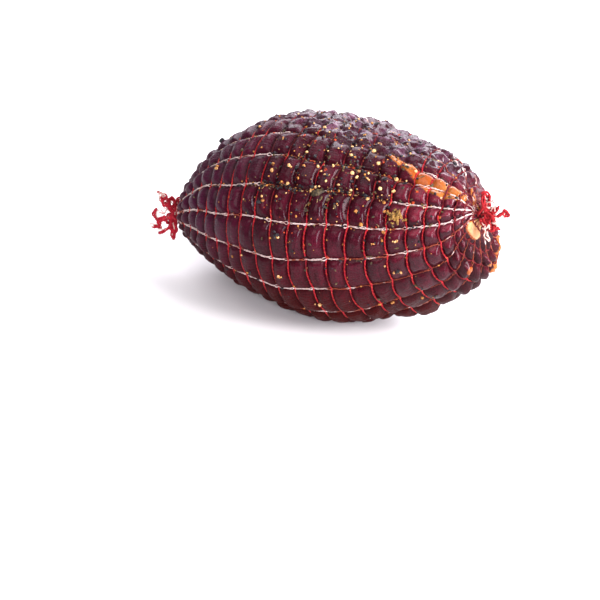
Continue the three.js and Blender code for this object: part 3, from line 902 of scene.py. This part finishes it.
def flowing(bends, step=0.55):
    """A smooth path through a few bends, with a point every step."""
    bends = np.array(bends)
    ends = np.concatenate([[2 * bends[0] - bends[1]], bends, [2 * bends[-1] - bends[-2]]])
    path = []
    for before, here, after, later in zip(ends, ends[1:], ends[2:], ends[3:]):
        count = max(2, int(np.linalg.norm(after - here) / step))
        share = np.arange(count)[:, None] / count
        pull = (after - before) * share + (2 * before - 5 * here + 4 * after - later) * share**2
        pull = pull + (3 * here - before - 3 * after + later) * share**3
        path.append(here + pull / 2)
    path.append(bends[-1:])
    return np.concatenate(path)


def square_to(path, lean):
    """Two directions square to a path at each of its points."""
    ahead = unit(np.gradient(path, axis=0))
    aside = unit(np.cross(ahead, lean))
    return aside, np.cross(aside, ahead)


def curled(path, size, length, start):
    """Winds a path into loose curls that grow away from its root."""
    run = np.concatenate([[0], np.cumsum(np.linalg.norm(np.diff(path, axis=0), axis=1))])
    aside, above = square_to(path, UPWARD + 0.3 * SIDEWAYS)
    grown = size * smooth(run, 0, 6)[:, None]
    return path + grown * winding(aside, above, 2 * math.pi * run / length + start)


def plies(path, thickness, twist=3.4, count=2):
    """The two plies of a yarn that follows a path."""
    aside, above = square_to(path, np.array((0.31, 0.62, 0.72)))
    run = np.arange(len(path)) * np.linalg.norm(path[1] - path[0])
    for ply in range(count):
        yield path + winding(aside, above, 2 * math.pi * (run / twist + ply / count)) * thickness * 0.32


def knot_rings(knot, radius, outwards, draw):
    """Rings of yarn wound round the knot; the later ones stray out along the net end."""
    angle = np.linspace(0, 2 * math.pi, 30)[:-1, None]
    for number in range(KNOT_RINGS):
        pole = draw.normal(0, 1, 3)
        side = unit(np.cross(pole, draw.normal(0, 1, 3)))
        over = np.cross(unit(pole), side)
        ring = knot + (np.cos(angle) * side + np.sin(angle) * over) * radius * draw.uniform(0.7, 1.1)
        if number >= CLOSE_RINGS:
            ring = ring + draw.normal(0, 1.1, 3) + outwards * draw.uniform(0, 0.6)
        yield ring


def spokes(end, middle, facing, knot):
    """The end of each cord, drawn in from the last ring of the net to the knot."""
    rim_row = RIM_MARGIN if end < 0 else LAST_ROW - RIM_MARGIN
    rims, _ = seats(np.array([(number, rim_row) for number in range(CORDS)]))
    between = (middle + facing * TUFT_ROOT + knot) / 2
    for rim, spoke in zip(rims, unit(rims - middle)):
        first = middle + spoke * 3.4 + facing * 1.0
        second = middle + spoke * 1.8 + facing * 2.0
        yield flowing((rim, first, second, between + spoke * 1.2, knot + spoke * 0.8))


def make_tuft(end, node, middle, facing, tuft, draw, red, pale):
    """The knot in the drawn-up net and the loops of yarn that hang out of it."""
    red_paths = []
    pale_paths = []

    def place(*bends):
        bends = np.array(bends, float) * (end, 1, 1)
        return middle + bends @ (ALONG, UPWARD, SIDEWAYS)

    def lay_yarn(paths, bends, thickness, stray, curl):
        strayed = bends + draw.normal(0, stray, bends.shape)
        path = curled(flowing(strayed), curl, draw.uniform(4.5, 8), draw.uniform(0, 6))
        for ply in plies(path, thickness):
            paths.append((ply, False, thickness / TUFT_PLY, 0.0))

    for route in tuft["red"]:
        bends = place(*route)
        lay_yarn(red_paths, bends, **MAIN_YARN)
        for _ in range(SIDE_YARNS):
            lay_yarn(red_paths, bends, **SIDE_YARN)
        shorter = bends[0] + (bends - bends[0]) * draw.uniform(0.75, 1.0)
        lay_yarn(pale_paths, shorter, **THIN_YARN)
    for route in tuft["pale"]:
        for stray in (0.1, 1.0):
            lay_yarn(pale_paths, place(*route), stray=stray, **PALE_YARN)

    knot = place(tuft["knot"]["place"])[0]
    for ring in knot_rings(knot, tuft["knot"]["radius"], knot - middle, draw):
        red_paths.append((ring, True, KNOT_YARN, 0.0))
    for number, path in enumerate(spokes(end, middle, facing, knot)):
        chosen = red_paths if number % 4 else pale_paths
        for ply in plies(path, TUFT_PLY * 0.5):
            chosen.append((ply, False, SPOKE_YARN["thickness"], SPOKE_YARN["soaked"]))
    for name, paths, finish in ((node + "_red", red_paths, red), (node + "_pale", pale_paths, pale)):
        add_piece(name, tubes(name, paths, TUFT_PLY), finish, node)


# ---------------------------------------------------------------- spice
# The larger crumbs follow the rule by which they are drawn for the solid.
CRUMBS = 38
CRUMB_SEED = 41
CRUMB_DRAW = {"factor": 1664525, "step": 1013904223, "range": 2**32}
CRUMB_REACH = 1.9
CRUMB_ROWS = (4, 17)
# How far the grains of a crumb lie apart, in cords and rows for each millimetre of its size.
CRUMB_CLUSTER = (0.007, 0.0224)
CRUMB_SIZES = {"largest": 5.4, "smallest": 2.4}
SPICE_SPREAD = {"cords": 2.1, "hoops": 3.9}
# Grains and flakes that are set one by one: cord, row, size in millimetres.
PEPPER_PLACES = (
    (-1.4, 9.7, 2.6), (-1.1, 10.7, 2.0), (-1.8, 11.9, 2.0), (-1.9, 12.6, 1.9), (-2.2, 11.1, 2.0),
    (-1.3, 12.6, 1.7), (-1.1, 12.1, 2.1), (-1.7, 13.8, 2.4), (-1.6, 14.1, 2.2), (-1.9, 14.0, 2.0),
    (-2.0, 15.9, 2.7), (-1.4, 16.1, 2.6), (-1.3, 15.4, 2.4), (-1.1, 13.9, 1.8), (-0.9, 14.8, 2.3),
    (-1.2, 13.3, 1.7), (-2.4, 14.9, 2.4), (2.5, 12.2, 2.8), (-3.3, 11.3, 2.0), (-0.6, 9.6, 1.7),
    (-2.9, 14.3, 2.6), (-2.6, 16.9, 1.9),
)
OCHRE_PLACES = (
    (-0.1, 14.7, 2.6), (-0.9, 15.7, 2.2), (-0.6, 15.9, 2.4), (-0.6, 16.1, 2.0), (0.1, 15.9, 2.4),
    (0.4, 15.9, 1.8), (2.0, 18.4, 1.6), (3.4, 16.9, 2.2), (3.0, 14.9, 2.4), (3.1, 15.6, 2.6),
    (-1.7, 11.3, 2.2), (-1.3, 11.2, 1.8), (1.3, 7.6, 1.6), (1.9, 7.4, 1.4), (-0.2, 11.5, 1.6),
)
BLACK_PLACES = (
    (-1.1, 10.2, 1.8), (-1.1, 10.4, 1.5), (-1.1, 11.9, 2.4), (-2.1, 11.6, 2.4), (-1.1, 13.1, 1.8),
    (-2.2, 13.8, 2.0), (-1.7, 15.5, 2.4), (-1.9, 14.2, 1.9), (-1.4, 13.9, 2.2), (-1.0, 14.6, 2.4),
    (-1.6, 15.9, 1.8), (-4.7, 18.4, 2.6), (-4.9, 16.0, 2.2), (2.6, 17.3, 1.8), (3.0, 15.2, 2.0),
    (0.5, 15.9, 1.8), (-3.7, 4.4, 4.2), (-1.0, 10.0, 1.7), (-1.1, 11.3, 1.6),
)
HERB_PLACES = (
    (-0.9, 12.3, 8.5), (-0.7, 12.9, 4.2), (-0.4, 11.9, 4.5), (-2.3, 6.9, 4.8), (-2.6, 7.0, 3.6),
    (-0.4, 15.4, 3.0), (-2.2, 18.1, 3.6), (2.6, 15.2, 3.8), (2.5, 17.1, 3.2), (2.9, 18.0, 2.8),
    (-3.7, 17.4, 3.4), (1.9, 4.9, 3.0), (0.5, 9.7, 2.0), (-0.6, 8.1, 2.2), (-1.9, 16.4, 2.6),
    (-1.6, 16.6, 2.4), (-2.6, 12.0, 2.2), (0.1, 10.2, 2.4), (-1.2, 17.2, 2.2), (0.3, 16.3, 2.0),
)
TWIG_PLACES = ((-0.5, 11.9, 6.0), (-0.6, 12.0, 4.5), (-2.4, 17.4, 3.4))
CLUMP = {"place": (-0.45, 16.6), "spread": (0.1, 0.15), "grains": 90}
# Fields of loose spice: middle and spread in (cords, rows), and the share rolled against the cords.
UPPER_SIDE = {"middle": (-1.9, 13.0), "spread": (1.7, 3.2), "on_cords": 0.4}
BESIDE_CORD = {"middle": (-1.0, 10.5), "spread": (0.07, 2.6), "on_cords": 0}
SPREAD_THIN = {"middle": (-1.0, 11.5), "spread": (4.6, 5.2), "on_cords": 0.2}
SPICED_ROWS = (2.5, 20.5)
ROLLED_STRAY = 0.07


def standing(outward, heading, tip=0.0):
    """Turns a shape that lies flat so that it lies on the meat, at a heading round it."""
    stand = Vector((0, 0, 1)).rotation_difference(Vector(outward))
    return stand @ Quaternion((0, 0, 1), heading) @ Quaternion((1, 0, 0), tip)


class Heap:
    """Many small shapes gathered into one mesh."""

    def __init__(self):
        self.whole = bmesh.new()
        self.carrier = bpy.data.meshes.new("carrier")

    def take(self, shape, turn, place):
        """Turns a shape made round the origin, sets it down and adds it."""
        for vertex in shape.verts:
            vertex.co = (place + turn @ vertex.co) * MM
        bmesh.ops.recalc_face_normals(shape, faces=shape.faces)
        shape.to_mesh(self.carrier)
        shape.free()
        self.whole.from_mesh(self.carrier)

    def finished(self, name, is_smooth):
        bpy.data.meshes.remove(self.carrier)
        return mesh_from(self.whole, name, is_smooth)


def add_grain(heap, point, outward, size, draw, flat=0.75, sink=0.12, fineness=1):
    """One cracked grain, pressed a little into the meat."""
    grain = bmesh.new()
    bmesh.ops.create_icosphere(grain, subdivisions=fineness, radius=0.5)
    turn = standing(outward, draw.uniform(0, 6.3), draw.normal(0, 0.25))
    form = Vector((1, draw.uniform(0.72, 0.95), flat * draw.uniform(0.85, 1.15)))
    shift = Vector(draw.uniform(-9, 9, 3))
    for vertex in grain.verts:
        knobby = 1 + 0.3 * noise.noise(vertex.co * 2.6 + shift)
        vertex.co = vertex.co * form * knobby * size
    heap.take(grain, turn, Vector(point) + Vector(outward) * size * (flat / 2 - sink))


def add_flake(heap, point, outward, length, draw, width=0.45):
    """One dry leaf flake: a thin wavy solid with a pointed or torn outline."""
    thickness = 0.22
    wave = 0.1
    flake = bmesh.new()
    bmesh.ops.create_grid(flake, x_segments=5, y_segments=2, size=0.5)
    turn = standing(outward, draw.uniform(0, 6.3), draw.normal(0, 0.2))
    bend = draw.uniform(-0.5, 0.5)
    ripple = draw.uniform(0, 6)
    torn = draw.uniform(0, 0.25)
    for vertex in flake.verts:
        x, y = vertex.co.x, vertex.co.y
        taper = (1 - abs(2 * x) ** 2.4) * (1 - torn * math.sin(11 * x + ripple)) + 0.08
        height = wave * math.sin(5 * x + ripple) + 0.35 * wave * math.cos(9 * y) - 0.18 * x * x
        vertex.co = Vector((x, y * width * taper + bend * x * x * 0.5, height)) * length
    bmesh.ops.solidify(flake, geom=flake.faces, thickness=thickness)
    heap.take(flake, turn, Vector(point) + Vector(outward) * (thickness * 0.6 + 0.03 * length))


def add_twig(heap, point, outward, length, draw):
    """One short stalk: a thin bent cylinder."""
    thickness = 0.55
    stalk = bmesh.new()
    sizes = {"radius1": thickness / 2, "radius2": thickness / 3, "depth": length}
    bmesh.ops.create_cone(stalk, cap_ends=True, cap_tris=False, segments=6, **sizes)
    sides = [edge for edge in stalk.edges if edge.calc_length() > thickness]
    bmesh.ops.subdivide_edges(stalk, edges=sides, cuts=3)
    bend = draw.uniform(-0.5, 0.5)
    for vertex in stalk.verts:
        x, y, z = vertex.co.z, vertex.co.y, vertex.co.x
        vertex.co = Vector((x, y + bend * x * x / length, z))
    turn = standing(outward, draw.uniform(0, 6.3), draw.normal(0, 0.1))
    heap.take(stalk, turn, Vector(point) + Vector(outward) * thickness * 0.6)


# Each kind of spice: how one is made, its light and dark colour, and its roughness.
SPICES = {
    "pepper_pale": (add_grain, (226, 184, 124), (160, 108, 60), 0.55),
    "pepper_black": (add_grain, (44, 38, 42), (12, 11, 16), 0.42),
    "herb_flakes": (add_flake, (96, 80, 50), (44, 36, 26), 0.6),
    "seed_husks": (add_grain, (190, 126, 58), (104, 62, 30), 0.6),
    "spice_clump": (add_grain, (150, 112, 52), (78, 56, 28), 0.65),
    "red_flakes": (add_flake, (190, 70, 30), (110, 26, 16), 0.45),
    "herb_stalks": (add_twig, (150, 120, 80), (64, 52, 36), 0.6),
}
# What lies loose: how many, and the least and greatest size.
LOOSE_GRAINS = {
    "pepper_pale": (105, 0.7, 1.8),
    "pepper_black": (420, 0.7, 2.2),
    "seed_husks": (240, 0.6, 1.6),
}
LOOSE_FLAKES = {"herb_flakes": (220, 1.0, 3.0), "red_flakes": (90, 0.9, 2.4)}
LOOSE_STALKS = (26, 1.6, 4.2)
AT_CORD = {"pepper_black": 50, "seed_husks": 24, "herb_flakes": 30, "herb_stalks": 18}
THIN_SPREAD = {"pepper_pale": 30, "pepper_black": 120, "seed_husks": 90, "herb_flakes": 16}
IN_CRUMBS = ("pepper_black", "pepper_black", "herb_flakes", "seed_husks", "pepper_pale")


def scattered(count, draw, middle, spread, on_cords):
    """Random places in a field; a share of them has rolled against the cords."""
    places = []
    while len(places) < count:
        cord = draw.normal(middle[0], spread[0])
        row = draw.normal(middle[1], spread[1])
        if draw.uniform() < on_cords:
            cord = round(cord) + draw.normal(0, ROLLED_STRAY)
        if draw.uniform() < on_cords * 0.4:
            row = round(row) + draw.normal(0, ROLLED_STRAY)
        if SPICED_ROWS[0] < row < SPICED_ROWS[1]:
            places.append((cord, row))
    return np.array(places)


def crumb_places():
    """Places and sizes of the larger crumbs."""
    state = CRUMB_SEED
    found = []
    taken = set()

    def draw_number():
        nonlocal state
        state = (state * CRUMB_DRAW["factor"] + CRUMB_DRAW["step"]) % CRUMB_DRAW["range"]
        return state / CRUMB_DRAW["range"]

    def draw_near(middle, spread):
        bell = draw_number() + draw_number() + draw_number() - 1.5
        return math.floor(middle + CRUMB_REACH * spread * bell + 0.5)

    while len(found) < CRUMBS:
        cord = draw_near(SPICE_CORD, SPICE_SPREAD["cords"])
        row = draw_near(SPICE_HOOP, SPICE_SPREAD["hoops"])
        if (cord, row) in taken or not CRUMB_ROWS[0] <= row <= CRUMB_ROWS[1]:
            continue
        taken.add((cord, row))
        shrunk = (len(found) / CRUMBS) ** 0.6
        size = CRUMB_SIZES["largest"] + (CRUMB_SIZES["smallest"] - CRUMB_SIZES["largest"]) * shrunk
        across = 0.5 + 0.3 * (draw_number() - 0.5)
        ahead = 0.5 + 0.2 * (draw_number() - 0.5)
        for _ in range(3):
            draw_number()
        found.append((cord + across, row + ahead, size))
    return found


def make_spice():
    draw = np.random.default_rng(77)
    heaps = {name: Heap() for name in SPICES}

    def lay(name, places, sizes, **shape):
        add = SPICES[name][0]
        points, facing = seats(np.array(places)[:, :2])
        for point, outward, size in zip(points, facing, sizes):
            add(heaps[name], point, outward, size, draw, **shape)

    def lay_set(name, places, **shape):
        lay(name, places, [size for *_, size in places], **shape)

    lay_set("pepper_pale", PEPPER_PLACES, flat=0.8, fineness=2)
    lay_set("pepper_black", BLACK_PLACES, flat=0.75, fineness=2)
    lay_set("seed_husks", OCHRE_PLACES, flat=0.5, fineness=2)
    lay_set("herb_flakes", HERB_PLACES)
    for cord, row, size in crumb_places():
        count = 3 + int(size)
        around = (cord, row) + draw.normal(0, 1, (count, 2)) * CRUMB_CLUSTER * size
        for place, grain_size in zip(around, size * draw.uniform(0.28, 0.52, count)):
            lay(IN_CRUMBS[draw.integers(len(IN_CRUMBS))], [place], [grain_size])

    for name, (count, least, most) in LOOSE_GRAINS.items():
        sizes = least + (most - least) * draw.uniform(0, 1, count) ** 2
        lay(name, scattered(count, draw, **UPPER_SIDE), sizes)
    for name, (count, least, most) in LOOSE_FLAKES.items():
        places = scattered(count, draw, **UPPER_SIDE)
        width = {"width": 0.7} if name == "red_flakes" else {}
        lay(name, places, least + (most - least) * draw.uniform(0, 1, count) ** 2, **width)
    count, least, most = LOOSE_STALKS
    lay("herb_stalks", scattered(count, draw, **UPPER_SIDE), draw.uniform(least, most, count))
    lay_set("herb_stalks", TWIG_PLACES)
    clump = CLUMP["place"] + draw.normal(0, 1, (CLUMP["grains"], 2)) * CLUMP["spread"]
    lay("spice_clump", clump, draw.uniform(0.9, 2.2, CLUMP["grains"]), sink=0.05)
    for counts, field, least, most in (
        (AT_CORD, BESIDE_CORD, 0.8, 1.9),
        (THIN_SPREAD, SPREAD_THIN, 0.35, 0.9),
    ):
        for name, count in counts.items():
            lay(name, scattered(count, draw, **field), draw.uniform(least, most, count))

    for name, (_, light, dark, roughness) in SPICES.items():
        mesh = heaps[name].finished(name, name == "herb_flakes")
        add_piece(name, mesh, crumb_finish(name, light, dark, roughness), "ham")


# ---------------------------------------------------------------- floor, light, camera
VIEW_AZIMUTH = math.radians(30)
VIEW_ELEVATION = math.radians(30)
VIEW_DISTANCE = 900
VIEW_LENS = 89.16
VIEW_SENSOR = 36
VIEW_SHIFT = {"right": 14.1, "up": 54.9}
FLOOR_SIZE = 4.0
SKY = {"colour": (0.93, 0.95, 1.0, 1.0), "strength": 0.28}
LIGHT_AIM = (0, 0, 0.06)
# Each light: its place, its width and height in metres, its watts and its tint.
LIGHTS = {
    "back_window": ((-0.15, 1.3, 0.9), (2.6, 0.9), 58, (0.94, 0.92, 1.0)),
    "right_window": ((1.15, 0.0, 0.7), (0.6, 0.8), 42, (1.0, 0.96, 1.0)),
    "low_strip": ((0.95, -0.95, 0.45), (0.22, 0.6), 15, (0.94, 0.88, 1.0)),
    "overhead": ((-0.1, -0.35, 1.5), (1.4, 1.1), 11, (1.0, 0.97, 1.0)),
    "front_window": ((-0.2, -1.2, 0.9), (0.8, 0.5), 5, (1.0, 0.96, 0.96)),
}


def make_camera():
    forward = Vector((
        -math.sin(VIEW_AZIMUTH) * math.cos(VIEW_ELEVATION),
        math.cos(VIEW_AZIMUTH) * math.cos(VIEW_ELEVATION),
        -math.sin(VIEW_ELEVATION),
    ))
    right = Vector((math.cos(VIEW_AZIMUTH), math.sin(VIEW_AZIMUTH), 0))
    up = right.cross(forward)
    eye = Vector(CENTRE) - forward * VIEW_DISTANCE
    eye -= right * VIEW_SHIFT["right"] + up * VIEW_SHIFT["up"]
    data = bpy.data.cameras.new("camera")
    data.lens = VIEW_LENS
    data.sensor_width = VIEW_SENSOR
    camera = bpy.data.objects.new("camera", data)
    bpy.context.collection.objects.link(camera)
    turned = forward.to_track_quat("-Z", "Y").to_matrix().to_4x4()
    camera.matrix_world = Matrix.Translation(eye * MM) @ turned
    bpy.context.scene.camera = camera


def make_floor():
    bm = bmesh.new()
    bmesh.ops.create_grid(bm, x_segments=1, y_segments=1, size=FLOOR_SIZE)
    floor = bpy.data.objects.new("floor", mesh_from(bm, "floor", False))
    bpy.context.collection.objects.link(floor)
    finish = Finish("pale_floor")
    floor.data.materials.append(finish.surface(Base_Color=colour(228, 227, 226), Roughness=0.7))


def area_light(name, place, size, power, tint):
    data = bpy.data.lights.new(name, "AREA")
    data.shape = "RECTANGLE"
    data.size, data.size_y = size
    data.energy = power
    data.color = tint
    light = bpy.data.objects.new(name, data)
    bpy.context.collection.objects.link(light)
    light.location = place
    light.rotation_mode = "QUATERNION"
    light.rotation_quaternion = (Vector(LIGHT_AIM) - Vector(place)).to_track_quat("-Z", "Y")


def make_light():
    world = bpy.data.worlds.new("soft_sky")
    bpy.context.scene.world = world
    world.use_nodes = True
    sky = world.node_tree.nodes["Background"]
    sky.inputs["Color"].default_value = SKY["colour"]
    sky.inputs["Strength"].default_value = SKY["strength"]
    for name, settings in LIGHTS.items():
        area_light(name, *settings)
    bpy.context.scene.view_settings.view_transform = "Standard"


make_camera()
make_floor()
make_light()
make_meat()
make_hoops()
make_cords()
end_draw = np.random.default_rng(5)
bright_red, dark_red, frayed = map(yarn_finish, ("end_yarn_red", "end_yarn_dark_red", "end_yarn_pale"))
make_tuft(-1, "net_tuft_left", *POINTED_GATHER, POINTED_END, end_draw, bright_red, frayed)
make_tuft(1, "net_tuft_right", *BLUNT_GATHER, BLUNT_END, end_draw, dark_red, frayed)
make_spice()
